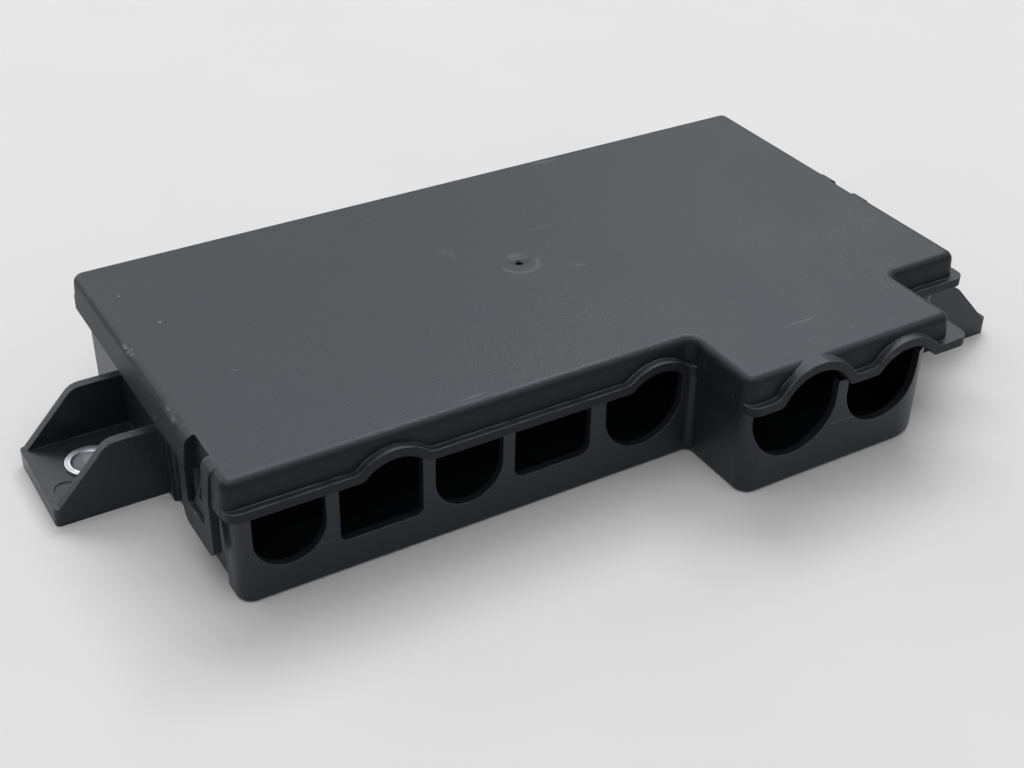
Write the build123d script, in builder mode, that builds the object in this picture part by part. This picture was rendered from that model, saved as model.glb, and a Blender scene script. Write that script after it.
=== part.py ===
"""Snap-lidded cable junction housing: a moulded tray, a moulded lid and two metal sleeves.

Millimetres, +Z up. The origin lies under the middle of the overall box, on the mounting face.
Working sizes are measured from the tray's left wall (across) and main front wall (back).
"""
import os
from math import radians, tan

from build123d import *

os.makedirs("parts", exist_ok=True)

# ---- Tray: outline and walls ---------------------------------------------------------------
body_depth = 78.4            # main front wall to rear wall
nose_left = 93.8             # left side of the nose that steps forward
nose_width = 47.7
right_shoulder = 14.6        # main front wall, right of the nose
nose_projection = 17.5       # how far the nose stands in front of the main wall
rim_height = 19.7            # mounting face to the rim the lid rests on
wall = 1.6
floor_thickness = 2.0
draft = 0.5                  # degrees, walls open upwards
corner_radius = 3.0
nose_corner_radius = 10.0    # the nose's right front corner is much rounder
step_radius = 1.5            # where the nose meets the main wall
foot_radius = 0.8            # around the bottom edge

# ---- Tray: cable openings, left to right ---------------------------------------------------
# (left edge, width, sill height, bottom corner radius); None rounds the whole bottom
main_openings = [
    (2.8, 13.6, 6.1, None),
    (18.9, 16.2, 6.8, 1.4),
    (37.6, 13.8, 5.8, None),
    (53.9, 16.3, 7.6, 2.2),
    (73.6, 17.4, 5.5, None),
]
nose_openings = [
    (94.8, 19.5, 6.4, None),
    (116.8, 18.3, 7.3, None),
]

# ---- Tray: mounting brackets ---------------------------------------------------------------
bracket_width = 22.4         # along the wall
bracket_thickness = 3.8
gusset_thickness = 1.9
gusset_height = 14.9
gusset_slope = 11.3          # run of the sloping edge across
gusset_radius = 4.0          # top corner of a gusset
plate_corner_radius = 1.0
left_bracket_start = 36.5    # from the main front wall
left_bracket_reach = 21.2
right_bracket_start = 3.5
right_bracket_reach = 21.0
hole_to_end = 10.3           # sleeve centre to the bracket's outer end
ejector_mark_radius = 2.2
ejector_mark_depth = 0.25
ejector_mark_to_end = 4.0
ejector_mark_to_side = 5.6

# ---- Metal sleeves that take the bolt load -------------------------------------------------
sleeve_outer = 8.2
sleeve_bore = 6.4
flange_outer = 9.3
flange_thickness = 0.6
sleeve_chamfer = 0.35

# ---- Lid -----------------------------------------------------------------------------------
lid_height = 7.3             # rim to the lid's top face
lid_thickness = 2.0
skirt_thickness = 1.9
skirt_draft = 4.0            # degrees; the skirt leans in towards the lid's top
skirt_overhang = 0.9         # skirt's foot outside the tray's front and rear walls
left_overhang = 2.1          # the same outside the left wall
right_overhang = 3.4
nose_overhang = 0.1          # outside the right side of the nose
lip_overhang = 2.1           # lip outside the front and rear walls
left_lip_overhang = 1.8
right_lip_overhang = 5.1
nose_lip_overhang = 3.9
lip_thickness = 1.9
lid_edge_radius = 1.8
lid_corner_radius = 2.4
tongue_clearance = 0.3
tongue_thickness = 1.2
tongue_depth = 2.5
tongue_start = 6.0           # the tongue begins this far behind the main front wall
ledge_inset = 1.0            # ledge above the tongue starts here, inside the skirt's thickness
gate_across = 78.5
gate_back = 40.6
gate_dish_radius = 2.5
gate_dish_depth = 0.3
gate_stub_radius = 0.5
gate_stub_height = 0.3

# ---- Lid: cable collars --------------------------------------------------------------------
# (centre across, inner radius, rise of the inner crown above the rim, stands on the nose)
collars = [
    (29.0, 7.9, 2.9, False),
    (84.0, 7.9, 2.7, False),
    (107.5, 8.4, 5.5, True),
    (129.5, 8.0, 3.9, True),
]
collar_wall = 1.9
collar_outer_blend = 2.0
collar_inner_blend = 1.5
collar_strip = 1.0           # lip drawn with a collar, beyond each side of it

# ---- Snap latches --------------------------------------------------------------------------
left_latch_back = 11.9       # middle of the loop, from the main front wall
right_latch_back = 34.0
loop_width = 14.2
loop_rail = 3.1
loop_thickness = 1.5
loop_proud = 0.4             # loop's outer face outside the skirt's foot
loop_bottom = 7.7
loop_corner_radius = 2.5
loop_edge_radius = 1.8
loop_foot = 1.0              # the loop's pad leans in from this far above the rim
loop_rise = 0.3              # pad's crest outside the skirt's leaning face
window_sill = 12.8
window_crown = 7.0           # width of the window where it breaks out of the lid's top
window_shoulder = 3.6        # below the lid's top, where the window starts to narrow
window_radius = 1.2
window_depth = 2.0           # window runs in from the skirt's foot, through the skirt
catch_gap = 0.4              # between the loop's crossbar and the catch above it
catch_width = 6.4
catch_rib = 1.7
catch_shelf = 1.8
catch_inset = 0.8            # catch's lower edge, behind the loop's outer face
catch_lead = 2.2             # catch at the rim, behind the loop's outer face
recess_depth = 1.1           # the wall behind a loop is set in
left_recess = (6.0, 33.3)    # start and end, from the main front wall
right_recess = (25.8, 46.0)

# ---- Derived -------------------------------------------------------------------------------
nose_right = nose_left + nose_width
body_length = nose_right + right_shoulder  # across, outside the walls at the foot
left_x = (left_bracket_reach - body_length - right_bracket_reach) / 2
front_y = (nose_projection - body_depth) / 2
lid_top = rim_height + lid_height
rim_growth = rim_height * tan(radians(draft))
touching = 0.01              # points closer than this count as the same
cut_margin = 1.0             # how far a cut runs past the surface it breaks through


def level(height):
    """Plan plane at a height, measured from the left wall and the main front wall."""
    return Plane(origin=(left_x, front_y, height), x_dir=(1, 0, 0), z_dir=(0, 0, 1))


def upright(back):
    """Upright plane facing the front; a cut or rib extruded from it runs forward."""
    return Plane(origin=(left_x, front_y + back, 0), x_dir=(1, 0, 0), z_dir=(0, -1, 0))


def plan_points(left, front, right, rear, nose, left_pocket=None, right_pocket=None):
    """Corners of the plan, counter-clockwise, with each side moved outwards.

    The right side of the nose moves by an amount of its own."""
    points = [
        (-left, -front),
        (nose_left - left, -front),
        (nose_left - left, -nose_projection - front),
        (nose_right + nose, -nose_projection - front),
        (nose_right + nose, -front),
        (body_length + right, -front),
    ]
    if right_pocket:
        start, end = right_pocket
        deep = body_length - recess_depth + right
        points += [(body_length + right, start), (deep, start), (deep, end), (body_length + right, end)]
    points += [(body_length + right, body_depth + rear), (-left, body_depth + rear)]
    if left_pocket:
        start, end = left_pocket
        deep = recess_depth - left
        points += [(-left, end), (deep, end), (deep, start), (-left, start)]
    return points


def plan_face(sides, radius, nose_radius, pockets=False):
    """Plan as a face with rounded corners; the nose's right front corner has its own radius."""
    left, front, right, rear, nose = sides
    left_pocket = right_pocket = None
    if pockets:
        left_pocket = (left_recess[0] + left, left_recess[1] - left)
        right_pocket = (right_recess[0] + right, right_recess[1] - right)
    with BuildSketch() as plan:
        with BuildLine():
            Polyline(*plan_points(*sides, left_pocket, right_pocket), close=True)
        make_face()
        corner = Vector(nose_right + nose, -nose_projection - front)
        nose_corner = plan.vertices().sort_by_distance(corner)[0]
        fillet(nose_corner, nose_radius)
        outer = [
            (-left, -front),
            (nose_left - left, -nose_projection - front),
            (body_length + right, -front),
            (body_length + right, body_depth + rear),
            (-left, body_depth + rear),
        ]
        fillet([plan.vertices().sort_by_distance(Vector(*p))[0] for p in outer], radius)
        inner = [(nose_left - left, -front), (nose_right + nose, -front)]
        fillet([plan.vertices().sort_by_distance(Vector(*p))[0] for p in inner], step_radius)
    return plan.sketch


def side(across):
    """Upright plane along the side walls; a piece extruded from it runs to the right."""
    return Plane(origin=(left_x + across, front_y, 0), x_dir=(0, 1, 0), z_dir=(1, 0, 0))


def at(across, back, height):
    """A point given from the left wall, the main front wall and the mounting face."""
    return Vector(left_x + across, front_y + back, height)


def cut_opening(left, width, sill, radius, wall_back):
    """Cut one cable opening through a front wall; it stays open at the rim."""
    middle = left + width / 2
    with BuildSketch(upright(wall_back + wall + cut_margin)) as profile:
        if radius is None:
            with Locations((middle, sill + width / 2)):
                Circle(width / 2)
            with Locations((middle, (sill + width / 2 + rim_height + cut_margin) / 2)):
                Rectangle(width, rim_height + cut_margin - sill - width / 2)
        else:
            with Locations((middle, (sill + rim_height + cut_margin) / 2)):
                Rectangle(width, rim_height + cut_margin - sill)
            fillet(vertices().group_by(Axis.Y)[0], radius)
    extrude(profile.sketch, amount=wall + 2 * cut_margin, mode=Mode.SUBTRACT)


def bracket_geometry(on_left):
    """Start along the wall, reach, and functions that place a point outside that wall."""
    if on_left:
        return left_bracket_start, left_bracket_reach, lambda out: -out
    return right_bracket_start, right_bracket_reach, lambda out: body_length + out


def add_bracket(on_left):
    """Mounting plate with a gusset along each side."""
    start, reach, place = bracket_geometry(on_left)
    root = -wall / 2
    with BuildSketch(level(0)) as plate:
        with Locations(((place(root) + place(reach)) / 2, start + bracket_width / 2)):
            Rectangle(reach - root, bracket_width)
        corners = [(place(reach), start), (place(reach), start + bracket_width)]
        fillet([vertices().sort_by_distance(Vector(*p))[0] for p in corners], plate_corner_radius)
    extrude(plate.sketch, amount=bracket_thickness)
    outline = [
        (place(root), 0),
        (place(reach - plate_corner_radius), 0),
        (place(reach - plate_corner_radius), bracket_thickness),
        (place(reach - gusset_slope), gusset_height),
        (place(root), gusset_height),
    ]
    crest = (place(reach - gusset_slope), gusset_height)
    for back in (start + gusset_thickness, start + bracket_width):
        with BuildSketch(upright(back)) as profile:
            with BuildLine():
                Polyline(*outline, close=True)
            make_face()
            fillet(vertices().sort_by_distance(Vector(*crest))[0], gusset_radius)
        extrude(profile.sketch, amount=gusset_thickness)


def sleeve_centre(on_left):
    """Across and back position of the metal sleeve in a bracket."""
    start, reach, place = bracket_geometry(on_left)
    return place(reach - hole_to_end), start + bracket_width / 2


def cut_recess(span, on_left):
    """Set the outside of a side wall back behind a latch loop."""
    start, end = span
    across = recess_depth / 2 if on_left else body_length - recess_depth / 2
    shift = -recess_depth if on_left else recess_depth
    with BuildSketch(level(0)) as profile:
        with Locations((across + shift / 2, (start + end) / 2)):
            Rectangle(2 * recess_depth, end - start)
        fillet(vertices(), recess_depth / 2)
    extrude(profile.sketch, amount=rim_height, mode=Mode.SUBTRACT)


def loop_face(on_left):
    """Distance of a latch loop's outer face from the tray's wall."""
    return (left_overhang if on_left else right_overhang) + loop_proud


def add_catch(latch_back, on_left):
    """Ramped catch that the lid's loop drops over, cored out between two ribs."""
    def place(out):
        return -out if on_left else body_length + out

    catch_bottom = window_sill + catch_gap
    root = -recess_depth - wall / 2
    proud = loop_face(on_left) - catch_inset
    ramp = [
        (place(root), rim_height),
        (place(loop_face(on_left) - catch_lead), rim_height),
        (place(proud), catch_bottom),
        (place(root), catch_bottom),
    ]
    with BuildSketch(upright(latch_back + catch_width / 2)) as profile:
        with BuildLine():
            Polyline(*ramp, close=True)
        make_face()
    extrude(profile.sketch, amount=catch_width)
    core_bottom = catch_bottom + catch_shelf
    core_edges = (place(-recess_depth - rim_growth), place(proud + cut_margin))
    with BuildSketch(level(core_bottom)) as profile:
        with Locations((sum(core_edges) / 2, latch_back)):
            Rectangle(abs(core_edges[1] - core_edges[0]), catch_width - 2 * catch_rib)
    extrude(profile.sketch, amount=rim_height - core_bottom, mode=Mode.SUBTRACT)


# ---- Tray ----------------------------------------------------------------------------------
with BuildPart() as tray:
    with BuildSketch(level(0)):
        add(plan_face([0] * 5, corner_radius, nose_corner_radius))
    extrude(amount=rim_height, taper=-draft)
    fillet(faces().sort_by(Axis.Z)[0].outer_wire().edges(), foot_radius)
    cut_recess(left_recess, on_left=True)
    cut_recess(right_recess, on_left=False)
    with BuildSketch(level(floor_thickness)):
        inner_corner = corner_radius - wall
        inner_nose_corner = nose_corner_radius - wall
        add(plan_face([-wall] * 5, inner_corner, inner_nose_corner, pockets=True))
    extrude(amount=rim_height, taper=-draft, mode=Mode.SUBTRACT)
    for opening in main_openings:
        cut_opening(*opening, wall_back=0)
    for opening in nose_openings:
        cut_opening(*opening, wall_back=-nose_projection)
    add_bracket(on_left=True)
    add_bracket(on_left=False)
    add_catch(left_latch_back, on_left=True)
    add_catch(right_latch_back, on_left=False)
    with BuildSketch(level(0)):
        with Locations(sleeve_centre(True), sleeve_centre(False)):
            Circle(sleeve_outer / 2)
    extrude(amount=bracket_thickness, mode=Mode.SUBTRACT)
    with BuildSketch(level(bracket_thickness)):
        mark_across = ejector_mark_to_end - left_bracket_reach
        with Locations((mark_across, left_bracket_start + ejector_mark_to_side)):
            Circle(ejector_mark_radius)
    extrude(amount=-ejector_mark_depth, mode=Mode.SUBTRACT)

tray.part.label = "tray"
export_step(tray.part, "parts/tray.step")


def add_collar(centre, radius, rise, on_nose):
    """Arched hood that carries the lip over a cable, blended into the lip on both sides."""
    front = -nose_projection if on_nose else 0
    outer = radius + collar_wall
    with BuildSketch(upright(front - skirt_overhang + skirt_thickness)) as hood:
        with Locations((centre, rim_height + rise - radius)):
            Circle(outer)
        with Locations((centre, rim_height + lip_thickness / 2)):
            Rectangle(2 * (outer + collar_strip), lip_thickness)
        with Locations((centre, rim_height - outer)):
            Rectangle(4 * outer, 2 * outer, mode=Mode.SUBTRACT)
        joins = [v for v in vertices() if abs(v.Y - rim_height - lip_thickness) < touching]
        joins = sorted(joins, key=lambda v: abs(v.X - centre))[:2]
        fillet(joins, collar_outer_blend)
    extrude(hood.sketch, amount=lip_overhang - skirt_overhang + skirt_thickness)


def cut_passage(centre, radius, rise, on_nose):
    """Clear the cable's way under a collar, through the lip and the skirt."""
    front = -nose_projection if on_nose else 0
    with BuildSketch(upright(front - skirt_overhang + skirt_thickness)) as bore:
        with Locations((centre, rim_height + rise - radius)):
            Circle(radius)
        with Locations((centre, rim_height - radius)):
            Rectangle(4 * radius, 2 * radius)
        joins = [v for v in vertices() if abs(v.Y - rim_height) < touching]
        joins = sorted(joins, key=lambda v: abs(v.X - centre))[:2]
        fillet(joins, collar_inner_blend)
    extrude(bore.sketch, amount=2 * (lip_overhang + skirt_thickness), mode=Mode.SUBTRACT)


def window_face(latch_back):
    """Outline of a loop's window: straight sides, then in to a narrow mouth in the lid's top."""
    half = loop_width / 2 - loop_rail
    shoulder = lid_top - window_shoulder
    points = [
        (latch_back - half, window_sill),
        (latch_back + half, window_sill),
        (latch_back + half, shoulder),
        (latch_back + window_crown / 2, lid_top),
        (latch_back + window_crown / 2, lid_top + window_shoulder),
        (latch_back - window_crown / 2, lid_top + window_shoulder),
        (latch_back - window_crown / 2, lid_top),
        (latch_back - half, shoulder),
    ]
    with BuildSketch() as window:
        with BuildLine():
            Polyline(*points, close=True)
        make_face()
        fillet(window.vertices().filter_by(lambda v: v.Y < lid_top - touching), window_radius)
    return window.sketch


def latch_loop(latch_back, on_left):
    """Hanging loop with a pad that ties it to the lid's leaning edge."""
    def place(out):
        return -out if on_left else body_length + out

    face = loop_face(on_left)
    crest = face - loop_proud - skirt_lean + loop_rise
    root = crest - lid_edge_radius - loop_thickness
    pad_edge = [
        (place(face), rim_height),
        (place(face), rim_height + loop_foot),
        (place(crest), lid_top),
        (place(root), lid_top),
        (place(root), rim_height),
    ]
    with BuildPart() as loop:
        with BuildSketch(upright(latch_back + loop_width / 2)) as profile:
            with BuildLine():
                Polyline(*pad_edge, close=True)
            make_face()
            crest_corner = profile.vertices().sort_by_distance(Vector(place(crest), lid_top))[0]
            fillet(crest_corner, loop_edge_radius)
        extrude(profile.sketch, amount=loop_width)
        with BuildSketch(side(place(face))) as hanging:
            with Locations((latch_back, (loop_bottom + rim_height + loop_foot) / 2)):
                Rectangle(loop_width, rim_height + loop_foot - loop_bottom)
            fillet(hanging.vertices().group_by(Axis.Y)[0], loop_corner_radius)
        extrude(hanging.sketch, amount=loop_thickness if on_left else -loop_thickness)
    return loop.part


def cut_window(latch_back, on_left):
    """Window of a loop, run in from outside through the skirt."""
    sign = -1 if on_left else 1
    overhang = left_overhang if on_left else right_overhang
    floor = (0 if on_left else body_length) + sign * (overhang - window_depth)
    with BuildSketch(side(floor)) as window:
        add(window_face(latch_back))
    depth = window_depth + loop_proud + cut_margin
    extrude(window.sketch, amount=sign * depth, mode=Mode.SUBTRACT)


def lip_ring():
    """Lip all round the lid, with its hoods."""
    with BuildPart() as lip:
        with BuildSketch(level(rim_height)):
            lip_sides = (
                left_lip_overhang, lip_overhang, right_lip_overhang, lip_overhang, nose_lip_overhang
            )
            add(plan_face(lip_sides, lid_corner_radius, lid_corner_radius))
            add(plan_face([skirt_inner] * 5, lid_inner_radius, lid_inner_radius), mode=Mode.SUBTRACT)
        extrude(amount=lip_thickness)
        for collar in collars:
            add_collar(*collar)
        with BuildSketch(level(lid_top)):
            with Locations((body_length / 2, 0)):
                Rectangle(2 * body_length, 2 * body_depth)
        extrude(amount=lid_thickness, mode=Mode.SUBTRACT)
        for collar in collars:
            cut_passage(*collar)
    return lip.part


def cover():
    """Top wall and leaning skirt, rounded along the top edge."""
    with BuildPart() as shell:
        with BuildSketch(level(rim_height)):
            skirt_sides = (
                left_overhang, skirt_overhang, right_overhang, skirt_overhang, nose_overhang
            )
            add(plan_face(skirt_sides, lid_corner_radius, lid_corner_radius))
        extrude(amount=lid_height, taper=skirt_draft)
        fillet(faces().sort_by(Axis.Z)[-1].outer_wire().edges(), lid_edge_radius)
        with BuildSketch(level(rim_height)):
            inner_sides = [overhang - skirt_thickness for overhang in skirt_sides]
            add(plan_face(inner_sides, lid_inner_radius, lid_inner_radius))
        extrude(amount=lid_height - lid_thickness, mode=Mode.SUBTRACT)
        for collar in collars:
            cut_passage(*collar)
    return shell.part


def tongue_points(inset):
    """Run of the tray's inside behind the front walls, a given distance in from its outside."""
    left, right = inset, body_length - inset
    rear = body_depth - inset
    return [
        (left + recess_depth, tongue_start),
        (right, tongue_start),
        (right, right_recess[0] - inset),
        (right - recess_depth, right_recess[0] - inset),
        (right - recess_depth, right_recess[1] + inset),
        (right, right_recess[1] + inset),
        (right, rear),
        (left, rear),
        (left, left_recess[1] + inset),
        (left + recess_depth, left_recess[1] + inset),
    ]


def locating_tongue():
    """Ledge and tongue that centre the lid inside the tray's rear and side walls."""
    tongue_outer = wall + tongue_clearance
    hollow = tongue_points(tongue_outer + tongue_thickness)
    with BuildPart() as tongue:
        with BuildSketch(level(rim_height - tongue_depth)):
            with BuildLine():
                Polyline(*tongue_points(tongue_outer), close=True)
            make_face()
            fillet(vertices().group_by(Axis.Y)[-1], corner_radius - tongue_outer)
        extrude(amount=tongue_depth + lip_thickness)
        with BuildSketch(level(rim_height)):
            with Locations((body_length / 2, (tongue_start + body_depth - ledge_inset) / 2)):
                Rectangle(body_length - 2 * ledge_inset, body_depth - ledge_inset - tongue_start)
        extrude(amount=lip_thickness)
        with BuildSketch(level(rim_height - tongue_depth)):
            with BuildLine():
                Polyline(*hollow, close=True)
            make_face()
        extrude(amount=tongue_depth + lip_thickness, mode=Mode.SUBTRACT)
    return tongue.part


# ---- Lid -----------------------------------------------------------------------------------
skirt_inner = skirt_overhang - skirt_thickness
skirt_lean = lid_height * tan(radians(skirt_draft))
lid_inner_radius = lid_corner_radius - skirt_thickness
latches = [(left_latch_back, True), (right_latch_back, False)]
lip_part = lip_ring()
cover_part = cover()
tongue_part = locating_tongue()
loop_parts = [latch_loop(*latch) for latch in latches]

with BuildPart() as lid:
    add(cover_part)
    add(lip_part)
    add(tongue_part)
    for loop_part in loop_parts:
        add(loop_part)
    for latch in latches:
        cut_window(*latch)
    sphere_radius = (gate_dish_radius**2 + gate_dish_depth**2) / (2 * gate_dish_depth)
    gate_floor = lid_top - gate_dish_depth
    with Locations(at(gate_across, gate_back, gate_floor + sphere_radius)):
        Sphere(sphere_radius, mode=Mode.SUBTRACT)
    with Locations(at(gate_across, gate_back, gate_floor)):
        Cylinder(gate_stub_radius, 2 * gate_stub_height)

lid.part.label = "lid"
export_step(lid.part, "parts/lid.step")


# ---- Sleeves -------------------------------------------------------------------------------
def sleeve(on_left):
    """Flanged steel sleeve pressed into a bracket from above."""
    across, back = sleeve_centre(on_left)
    with BuildPart() as bush:
        with BuildSketch(level(0)):
            with Locations((across, back)):
                Circle(sleeve_outer / 2)
        extrude(amount=bracket_thickness)
        with BuildSketch(level(bracket_thickness)):
            with Locations((across, back)):
                Circle(flange_outer / 2)
        extrude(amount=flange_thickness)
        with BuildSketch(level(0)):
            with Locations((across, back)):
                Circle(sleeve_bore / 2)
        extrude(amount=bracket_thickness + flange_thickness, mode=Mode.SUBTRACT)
        flange_rims = edges().filter_by(GeomType.CIRCLE).group_by(Axis.Z)[-1]
        chamfer(flange_rims.sort_by(SortBy.RADIUS)[0], sleeve_chamfer)
    return bush.part


with BuildPart() as sleeve_left:
    add(sleeve(on_left=True))

with BuildPart() as sleeve_right:
    add(sleeve(on_left=False))

for metal, name in ((sleeve_left, "sleeve_left"), (sleeve_right, "sleeve_right")):
    metal.part.label = name
    export_step(metal.part, f"parts/{name}.step")
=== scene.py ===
# %% [markdown]
# # Cable junction housing, dressed for a studio picture
# The imported solids arrive as a fixed frame, in metres. This script gives them the surfaces of
# moulded plastic and plated steel, adds the small marks that handling leaves together with some
# painted shade and painted highlights, and sets up the floor, the light and the camera. The
# shapes themselves come from the frame and stay as they are.

# %% Load the frame
import math

import bpy
from mathutils import Matrix, Vector


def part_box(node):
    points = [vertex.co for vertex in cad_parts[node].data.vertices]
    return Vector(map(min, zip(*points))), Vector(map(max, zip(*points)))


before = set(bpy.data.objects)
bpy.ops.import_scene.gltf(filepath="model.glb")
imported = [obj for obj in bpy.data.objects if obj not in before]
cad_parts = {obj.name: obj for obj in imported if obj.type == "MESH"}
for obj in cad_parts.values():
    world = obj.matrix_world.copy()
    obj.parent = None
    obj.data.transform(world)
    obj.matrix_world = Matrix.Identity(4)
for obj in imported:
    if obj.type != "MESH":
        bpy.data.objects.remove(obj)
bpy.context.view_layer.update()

# %% [markdown]
# ## Colours and nodes
# Colours are written as sRGB hex, as a paint chart gives them, and one function turns them into
# the linear values that Blender's shaders work with. A second small function adds a node: its
# settings are the node's own properties, and each entry of feeds is either a value for an input
# or the output of another node, which is then linked to it.

# %% Colours
mm = 0.001


def linear(hex_colour):
    """Linear RGBA of an sRGB hex colour."""
    out = []
    for i in (0, 2, 4):
        c = int(hex_colour[i:i + 2], 16) / 255
        out.append(c / 12.92 if c <= 0.04045 else ((c + 0.055) / 1.055) ** 2.4)
    return (*out, 1.0)


# %% Node helper
def add(tree, kind, feeds=None, out=0, **settings):
    """Add a shader node and return one of its outputs."""
    node = tree.nodes.new("ShaderNode" + kind)
    for key, value in settings.items():
        setattr(node, key, value)
    for key, value in (feeds or {}).items():
        if isinstance(value, bpy.types.NodeSocket):
            tree.links.new(value, node.inputs[key])
        else:
            node.inputs[key].default_value = value
    return node.outputs[out]


# %% Settings that several nodes share
# A Map Range with a soft start and end, a product, the larger of two masks, a difference of two
# places, and a mix of two colours, which are inputs 6 and 7 and output 2.
SMOOTH = {"interpolation_type": "SMOOTHSTEP"}
TIMES = {"operation": "MULTIPLY"}
LARGER = {"operation": "MAXIMUM"}
MINUS = {"operation": "SUBTRACT"}
COLOURS = {"out": 2, "data_type": "RGBA"}


# %% A new material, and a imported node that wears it
def new_material(name):
    """Material with a Principled shader, its tree and the piece's own coordinates."""
    material = bpy.data.materials.new(name)
    material.use_nodes = True
    tree = material.node_tree
    where = add(tree, "TexCoord", out=3)
    return material, tree, tree.nodes["Principled BSDF"], where


def wear_on(node_name, material):
    """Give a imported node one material."""
    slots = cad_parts[node_name].data.materials
    slots.clear()
    slots.append(material)
    print(node_name, "wears", material.name, "with", len(material.node_tree.nodes), "nodes")


# %% [markdown]
# ## Moulded black polypropylene
# Tray and lid are injection moulded from polypropylene coloured black through and through. The
# mould was spark eroded, so the skin is not glossy: a fine even grain scatters the light, and
# the plastic only brightens where it mirrors the bright studio at a shallow angle. The faces
# that do not look up reflect less and lose the clouds, and on the lid they are painted darker
# than its top as painted shade. The grain could be an image wrapped round each piece, but noise
# on the piece's own coordinates needs no unwrapping and has a real size: 0.45 mm for the grain,
# and some centimetres for the soft clouds where the melt cooled unevenly.

# %% The plastic's figures
grain_size = 0.45 * mm       # spark-eroded skin, drawn a little coarse so that it shows
grain_height = 0.08 * mm
grain_strength = 0.9
grain_dulling = 0.10         # roughness that the grain adds
cloud_size = 38 * mm
cloud_dulling = 0.07         # roughness that a cloud adds
edge_break = 0.35 * mm       # moulded edges are never razor sharp
wear_and_highlight_share = 0.65            # how far the strongest mark goes towards the rubbed colour; the marks are worn places and a painted edge highlight
plastic_ior = 1.49
plastic_tint = "e9edf7"      # the reflection is a little cool
top_gloss = 0.42             # share of the full reflection, on faces that look up

# %% [markdown]
# ## Marks on the plastic
# Handling leaves faint hairline scratches and a few rubbed spots, and the runner that fed the
# mould left a pale rim and a pit where it broke off; the pit is painted near black as painted
# shade. The edges that look up are greyer, partly worn and partly as a painted highlight. They
# could be painted by hand. Here each mark is a mask from 0 to 1, made of noise and distances in
# millimetres, so that a size can be changed by its name. The strongest mask wins.

# %% Hairline scratches
hairline_width = 0.25 * mm
hairline_patches = 6 * hairline_width  # only their crests show, about a sixth as wide
hairline_stretch = 16.0      # a hairline is this much longer than wide
hairline_strength = 0.4
hairline_level = 0.755       # noise above this is a scratch
hairline_fade = 0.03
hairline_regions = 30 * mm   # scratches gather in regions of this size
hairline_directions = ((0.5, 0.0), (-0.9, 0.0), (1.9, 0.01))  # turn, how much more of them


def hairlines(tree, where, turn, more):
    """Thin straight scratches lying one way: noise stretched along its length."""
    scale = (1 / hairline_stretch, 1, 1)
    turned = add(tree, "Mapping", {"Vector": where, "Rotation": (0, 0, turn), "Scale": scale})
    lines = add(tree, "TexNoise",
                {"Vector": turned, "Scale": 1 / hairline_patches, "Detail": 1.0})
    level = hairline_level - more
    thin = add(tree, "MapRange",
               {"Value": lines, "From Min": level, "From Max": level + hairline_fade}, **SMOOTH)
    faint = add(tree, "Math", {0: thin, 1: hairline_strength}, **TIMES)
    regions = add(tree, "TexNoise",
                  {"Vector": where, "Scale": 1 / hairline_regions, "Detail": 2.0})
    inside = add(tree, "MapRange", {"Value": regions, "From Min": 0.5, "From Max": 0.65}, **SMOOTH)
    return add(tree, "Math", {0: faint, 1: inside}, **TIMES)


# %% Rubbed spots
spot_specks = 0.9 * mm


def rubbed_spot(tree, where, centre, length, width, turn, strength):
    """Soft grey mark, an ellipse broken up into specks."""
    moved = add(tree, "VectorMath", {0: where, 1: centre}, **MINUS)
    turned = add(tree, "VectorRotate", {"Vector": moved, "Angle": -turn}, rotation_type="Z_AXIS")
    scaled = add(tree, "VectorMath", {0: turned, 1: (2 / length, 2 / width, 2 / width)}, **TIMES)
    distance = add(tree, "VectorMath", {0: scaled}, out=1, operation="LENGTH")
    inside = add(tree, "MapRange", {"Value": distance, "From Min": 1.0, "From Max": 0.2,
                                    "To Max": strength}, **SMOOTH)
    specks = add(tree, "TexNoise", {"Vector": where, "Scale": 1 / spot_specks, "Detail": 2.0})
    broken = add(tree, "MapRange", {"Value": specks, "From Min": 0.38, "From Max": 0.62}, **SMOOTH)
    return add(tree, "Math", {0: inside, 1: broken}, **TIMES)


# %% What the runner left
# Distances from the middle of the gate. The rim shows on the side near the front only.
gate_rim = (3.0 * mm, 3.9 * mm, 4.0 * mm, 4.5 * mm)  # starts, full, still full, gone
gate_rim_near = (1.0 * mm, -2.0 * mm)                # starts behind the middle, full in front
gate_rim_strength = 0.2
# painted shade: the pit is painted near black and reflects nothing
gate_pit = (1.1 * mm, 0.6 * mm)                      # starts, full
gate_pit_shade_colour = "050506"


def gate_mark(tree, where, centre):
    """Masks of the pale near rim and of the pit, painted dark as painted shade, that are left
    where the runner broke off.
    """
    moved = add(tree, "VectorMath", {0: where, 1: centre}, **MINUS)
    distance = add(tree, "VectorMath", {0: moved}, out=1, operation="LENGTH")
    starts, full, still, gone = gate_rim
    inner = add(tree, "MapRange",
                {"Value": distance, "From Min": starts, "From Max": full}, **SMOOTH)
    outer = add(tree, "MapRange",
                {"Value": distance, "From Min": gone, "From Max": still}, **SMOOTH)
    ring = add(tree, "Math", {0: inner, 1: outer}, **TIMES)
    behind = add(tree, "SeparateXYZ", {0: moved}, out=1)
    starts, full = gate_rim_near
    near = add(tree, "MapRange", {"Value": behind, "From Min": starts, "From Max": full}, **SMOOTH)
    rim = add(tree, "Math", {0: ring, 1: near}, **TIMES)
    starts, full = gate_pit
    pit = add(tree, "MapRange",
              {"Value": distance, "From Min": starts, "From Max": full}, **SMOOTH)
    return rim, pit


# %% Worn and highlighted edges
edge_patches = 3 * mm        # worn edges and their painted highlight come in patches of this length


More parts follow.
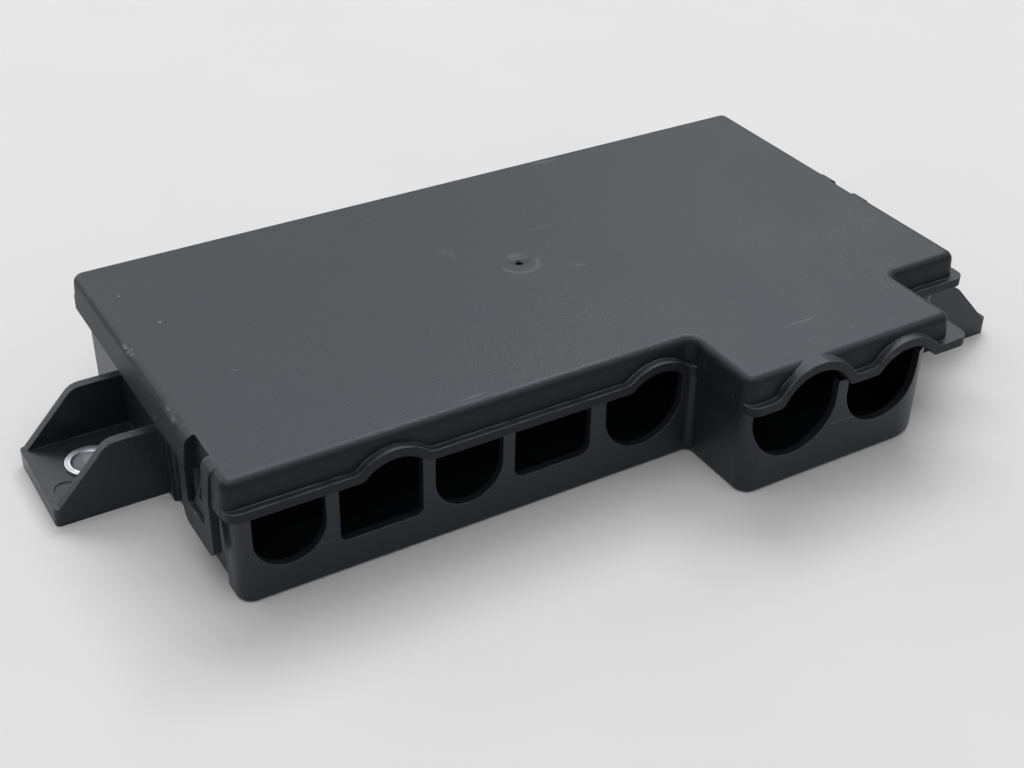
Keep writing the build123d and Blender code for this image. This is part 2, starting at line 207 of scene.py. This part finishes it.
def edge_wear_and_highlight(tree, where, rounded, facing):
    """Mask of the edges that look up, where the rounded normal leaves the face's own: partly worn,
    partly a painted highlight.
    """
    same = add(tree, "VectorMath", {0: rounded, 1: facing}, out=1, operation="DOT_PRODUCT")
    edge = add(tree, "MapRange", {"Value": same, "From Min": 0.995, "From Max": 0.85})
    height = add(tree, "SeparateXYZ", {0: rounded}, out=2)
    # painted highlight: only edges whose rounded normal looks up, where light would catch them,
    # count
    upward_highlight = add(tree, "MapRange", {"Value": height, "From Min": 0.15, "From Max": 0.5}, **SMOOTH)
    edge = add(tree, "Math", {0: edge, 1: upward_highlight}, **TIMES)
    patches = add(tree, "TexNoise", {"Vector": where, "Scale": 1 / edge_patches, "Detail": 3.0})
    patchy = add(tree, "MapRange", {"Value": patches, "From Min": 0.25, "From Max": 0.6}, **SMOOTH)
    return add(tree, "Math", {0: edge, 1: patchy}, **TIMES)


# %% The moulded skin
def moulded_plastic(name, colours, smoothest, side_gloss, spots, gate):
    """Black polypropylene skin with grain, clouds, worn edges with a painted highlight, hairlines,
    rubbed spots, and painted shade on the side faces and in the gate pit.
    """
    body_colour, cloud_colour, side_shade_colour, rubbed_and_highlight_colour = (linear(c) for c in colours)
    material, tree, shader, where = new_material(name)
    melt = add(tree, "TexNoise",
               {"Vector": where, "Scale": 1 / cloud_size, "Detail": 3.0, "Roughness": 0.6})
    clouds = add(tree, "MapRange", {"Value": melt, "From Min": 0.3, "From Max": 0.7}, **SMOOTH)
    colour = add(tree, "Mix", {0: clouds, 6: body_colour, 7: cloud_colour}, **COLOURS)
    facing = add(tree, "NewGeometry", out=1)
    height = add(tree, "SeparateXYZ", {0: facing}, out=2)
    # painted shade: faces that do not look up take the flat side colour instead of the clouded
    # body colour
    top = add(tree, "MapRange", {"Value": height, "From Min": 0.5, "From Max": 0.95}, **SMOOTH)
    colour = add(tree, "Mix", {0: top, 6: side_shade_colour, 7: colour}, **COLOURS)

    rounded = add(tree, "Bevel", {"Radius": edge_break}, samples=4)
    rim, pit = gate_mark(tree, where, gate)
    marks = [edge_wear_and_highlight(tree, where, rounded, facing)]
    marks += [hairlines(tree, where, turn, more) for turn, more in hairline_directions]
    marks += [rubbed_spot(tree, where, *spot) for spot in spots]
    marks += [add(tree, "Math", {0: rim, 1: gate_rim_strength}, **TIMES)]
    wear_and_highlight = marks[0]
    for mark in marks[1:]:
        wear_and_highlight = add(tree, "Math", {0: wear_and_highlight, 1: mark}, **LARGER)
    share = add(tree, "Math", {0: wear_and_highlight, 1: wear_and_highlight_share}, **TIMES)
    # the rubbed colour shows the worn places and the painted edge highlight
    colour = add(tree, "Mix", {0: share, 6: colour, 7: rubbed_and_highlight_colour}, **COLOURS)
    # painted shade: the gate pit is painted near black
    colour = add(tree, "Mix", {0: pit, 6: colour, 7: linear(gate_pit_shade_colour)}, **COLOURS)
    tree.links.new(colour, shader.inputs["Base Color"])

    grain = add(tree, "TexNoise",
                {"Vector": where, "Scale": 1 / grain_size, "Detail": 2.0, "Roughness": 0.6})
    uneven = add(tree, "Math", {0: clouds, 1: cloud_dulling, 2: smoothest},
                 operation="MULTIPLY_ADD")
    dull = add(tree, "Math", {0: grain, 1: grain_dulling, 2: uneven}, operation="MULTIPLY_ADD")
    tree.links.new(dull, shader.inputs["Roughness"])
    skin = add(tree, "Bump", {"Height": grain, "Distance": grain_height,
                              "Strength": grain_strength, "Normal": rounded})
    tree.links.new(skin, shader.inputs["Normal"])
    gloss = add(tree, "MapRange", {"Value": top, "To Min": side_gloss, "To Max": top_gloss})
    # the painted shade in the gate pit also takes the reflection away
    open_skin = add(tree, "Math", {0: 1.0, 1: pit}, **MINUS)
    gloss = add(tree, "Math", {0: gloss, 1: open_skin}, **TIMES)
    tree.links.new(gloss, shader.inputs["Specular IOR Level"])
    shader.inputs["Specular Tint"].default_value = linear(plastic_tint)
    shader.inputs["IOR"].default_value = plastic_ior
    return material


# %% Lid and tray
lid_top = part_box("lid")[1][2]
lid_gate = (-0.0001, 0.0087, lid_top)
lid_spots = [
    # place, length, width, turn from the X axis, strength
    ((-0.0804, 0.0262, lid_top - 0.5 * mm), 7.5 * mm, 2.2 * mm, 1.60, 1.3),
    ((-0.0794, 0.0167, lid_top), 8.5 * mm, 2.4 * mm, 1.69, 1.2),
    ((-0.0800, -0.0074, lid_top - 0.3 * mm), 12.0 * mm, 2.6 * mm, 1.52, 1.2),
    ((-0.0653, 0.0001, lid_top), 3.2 * mm, 0.7 * mm, -0.36, 0.8),
    ((-0.0743, 0.0348, lid_top), 0.9 * mm, 0.7 * mm, 0.0, 1.0),
    ((-0.0707, 0.0220, lid_top), 1.0 * mm, 0.8 * mm, 0.4, 1.0),
    ((-0.0512, 0.0004, lid_top), 0.9 * mm, 0.8 * mm, 0.0, 0.9),
    ((0.0101, 0.0024, lid_top), 4.5 * mm, 0.6 * mm, -0.62, 0.5),
    ((0.0743, -0.0117, lid_top), 8.0 * mm, 0.8 * mm, 0.12, 0.15),
    ((-0.0111, 0.0194, lid_top), 9.0 * mm, 3.0 * mm, 1.8, 0.14),
]
tray_gate = (0.0, 0.0, 0.0)  # in the middle of its underside
# body, clouds, side faces as painted shade, rubbed places and painted edge highlight
lid_colours = ("24272b", "282b30", "1b1d20", "94969b")
tray_colours = ("22252a", "272a2e", "23262b", "6e7075")
# smoothest roughness, then the side faces' share of the full reflection
lid_skin = (0.38, 0.24)
tray_skin = (0.24, top_gloss)
wear_on("lid", moulded_plastic(
    "lid_black_polypropylene", lid_colours, *lid_skin, lid_spots, lid_gate))
wear_on("tray", moulded_plastic(
    "tray_black_polypropylene", tray_colours, *tray_skin, [], tray_gate))

# %% [markdown]
# ## Zinc-plated steel sleeves
# A turned steel sleeve sits in each bracket, so that a bolt clamps metal and not plastic. It is
# zinc plated: a cool, rather dull metal with fine rings around the bore, left by the tool that
# turned it. The rings could be cut into the mesh, but they are far too shallow to see from the
# side, so a wave around the bore's axis gives them to the bump, and its grooves are painted
# darker in the colour as painted shade.

# %% The sleeves
ring_pitch = 0.70 * mm       # turning marks, drawn coarser than real ones so that they show
ring_depth = 0.01 * mm
ring_bump = 0.4
ring_wobble = 0.6
# painted shade: the grooves between the rings are painted darker
ring_groove_shade_colour = "7d8085"
ring_groove_shade_share = 0.6
stain_size = 2.2 * mm
stain_dulling = 0.12
plate_colours = ("d6d8dc", "c0c3c8")  # clean, stained
plate_roughness = 0.38
sleeve_edge_break = 0.15 * mm


def plated_steel(name, node_name):
    """Zinc plate over turned steel, with rings centred on the sleeve whose grooves are painted
    darker as painted shade.
    """
    material, tree, shader, where = new_material(name)
    low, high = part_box(node_name)
    centre = ((low[0] + high[0]) / 2, (low[1] + high[1]) / 2, 0)
    moved = add(tree, "VectorMath", {0: where, 1: centre}, **MINUS)
    # the Wave node multiplies the distance by 20 before it takes the sine
    rings = add(tree, "TexWave", {"Vector": moved, "Scale": math.tau / (20 * ring_pitch),
                                  "Distortion": ring_wobble},
                out=1, wave_type="RINGS", rings_direction="Z")
    spread = add(tree, "TexNoise", {"Vector": where, "Scale": 1 / stain_size, "Detail": 3.0})
    stains = add(tree, "MapRange", {"Value": spread, "From Min": 0.35, "From Max": 0.7}, **SMOOTH)
    clean, stained = (linear(c) for c in plate_colours)
    plate = add(tree, "Mix", {0: stains, 6: clean, 7: stained}, **COLOURS)
    # painted shade in the ring grooves
    groove_shade = add(tree, "MapRange", {"Value": rings, "From Min": 0.35, "From Max": 0.05}, **SMOOTH)
    groove_shade = add(tree, "Math", {0: groove_shade, 1: ring_groove_shade_share}, **TIMES)
    plate = add(tree, "Mix", {0: groove_shade, 6: plate, 7: linear(ring_groove_shade_colour)}, **COLOURS)
    tree.links.new(plate, shader.inputs["Base Color"])
    dull = add(tree, "Math", {0: stains, 1: stain_dulling, 2: plate_roughness},
               operation="MULTIPLY_ADD")
    tree.links.new(dull, shader.inputs["Roughness"])
    rounded = add(tree, "Bevel", {"Radius": sleeve_edge_break}, samples=4)
    turned = add(tree, "Bump", {"Height": rings, "Distance": ring_depth,
                                "Strength": ring_bump, "Normal": rounded})
    tree.links.new(turned, shader.inputs["Normal"])
    shader.inputs["Metallic"].default_value = 1.0
    return material


for node_name in ("sleeve_left", "sleeve_right"):
    wear_on(node_name, plated_steel(f"{node_name}_zinc_plated_steel", node_name))

# %% [markdown]
# ## Floor and light
# The housing lies on a sheet of pale matt card that runs on far behind it. A large softbox hangs
# behind the housing on the right: the lid mirrors it dimly and goes grey, most of all over the
# nose, where a smaller box stands just below it. Another one over the left side lights the card
# and keeps the shadow short. A panel behind on the left shows in the lid's rounded left edge,
# and a small lamp in front on the right picks out the lip. The walls that face the front mostly
# see the card and stay dark, and the room fills in the rest. One lamp would be simpler, but lid
# and card need different amounts of light, so each lamp here has a job of its own.

# %% Floor
floor_reach = 6.0            # metres, to each side
fibre_size = 60 * mm
card_colours = ("d1d1d2", "d3d3d3")
floor_mesh = bpy.data.meshes.new("floor")
corners = [(-floor_reach, -floor_reach, 0), (floor_reach, -floor_reach, 0),
           (floor_reach, floor_reach, 0), (-floor_reach, floor_reach, 0)]
floor_mesh.from_pydata(corners, [], [(0, 1, 2, 3)])
floor = bpy.data.objects.new("floor", floor_mesh)
bpy.context.scene.collection.objects.link(floor)
card, tree, shader, where = new_material("pale_matt_card")
pulp = add(tree, "TexNoise", {"Vector": where, "Scale": 1 / fibre_size, "Detail": 3.0})
fibre = add(tree, "MapRange", {"Value": pulp, "From Min": 0.3, "From Max": 0.7}, **SMOOTH)
dark, pale = (linear(c) for c in card_colours)
tree.links.new(add(tree, "Mix", {0: fibre, 6: dark, 7: pale}, **COLOURS),
               shader.inputs["Base Color"])
shader.inputs["Roughness"].default_value = 0.9
shader.inputs["Specular IOR Level"].default_value = 0.1
floor.data.materials.append(card)


# %% Lamps
def softbox(name, azimuth, elevation, distance, width, height, radiance):
    """Area lamp that looks at the housing; azimuth 0 is straight behind it, + to the right."""
    turn, lift = math.radians(azimuth), math.radians(elevation)
    place = distance * Vector((
        math.sin(turn) * math.cos(lift), math.cos(turn) * math.cos(lift), math.sin(lift)))
    lamp = bpy.data.lights.new(name, "AREA")
    lamp.shape = "RECTANGLE"
    lamp.size, lamp.size_y = width, height
    lamp.energy = radiance * math.pi * width * height
    holder = bpy.data.objects.new(name, lamp)
    aim = place.to_track_quat("Z", "Y").to_matrix().to_4x4()
    holder.matrix_world = Matrix.Translation(place) @ aim
    bpy.context.scene.collection.objects.link(holder)
    print(name, width, "x", height, "m,", distance, "m away")


softbox("overhead_softbox", -105, 74, 2.1, 1.8, 1.5, 1.8)
softbox("rear_softbox", 34, 55, 3.0, 2.4, 1.2, 5.0)
softbox("nose_softbox", 46, 41, 3.0, 0.6, 0.6, 8.0)
softbox("left_panel", -18, 18, 2.6, 2.0, 1.5, 1.5)
softbox("front_strip", 138, 42, 1.2, 0.3, 0.3, 2.0)

room_strength = 0.40
world = bpy.data.worlds.new("room")
bpy.context.scene.world = world
world.use_nodes = True
room = world.node_tree.nodes["Background"]
room.inputs["Color"].default_value = (1, 1, 1, 1)
room.inputs["Strength"].default_value = room_strength

# %% [markdown]
# ## Camera
# It stands in front of the housing's left end and looks down on it from about 34 degrees. It
# could be aimed at a target, but a place and three angles say exactly where it looks.

# %% Camera
camera_place = Vector((-0.14256, -0.22451, 0.18157))
yaw, pitch, roll = math.radians(31.222), math.radians(33.945), math.radians(1.182)
sensor = 36.0                # mm
focal_pixels = 1555.61       # focal length, in pixels of a picture this wide
picture_width = 1024
forward = Vector((
    math.sin(yaw) * math.cos(pitch), math.cos(yaw) * math.cos(pitch), -math.sin(pitch)))
level_right = Vector((math.cos(yaw), -math.sin(yaw), 0))
level_up = level_right.cross(forward)
right = level_right * math.cos(roll) + level_up * math.sin(roll)
up = level_up * math.cos(roll) - level_right * math.sin(roll)
camera_data = bpy.data.cameras.new("camera")
camera_data.sensor_width = sensor
camera_data.lens = focal_pixels / picture_width * sensor
camera_data.clip_start, camera_data.clip_end = 0.01, 20
camera = bpy.data.objects.new("camera", camera_data)
camera.matrix_world = Matrix.Translation(camera_place) @ Matrix((
    (right.x, up.x, -forward.x), (right.y, up.y, -forward.y), (right.z, up.z, -forward.z),
)).to_4x4()
bpy.context.scene.collection.objects.link(camera)
bpy.context.scene.camera = camera
bpy.context.scene.view_settings.view_transform = "Standard"
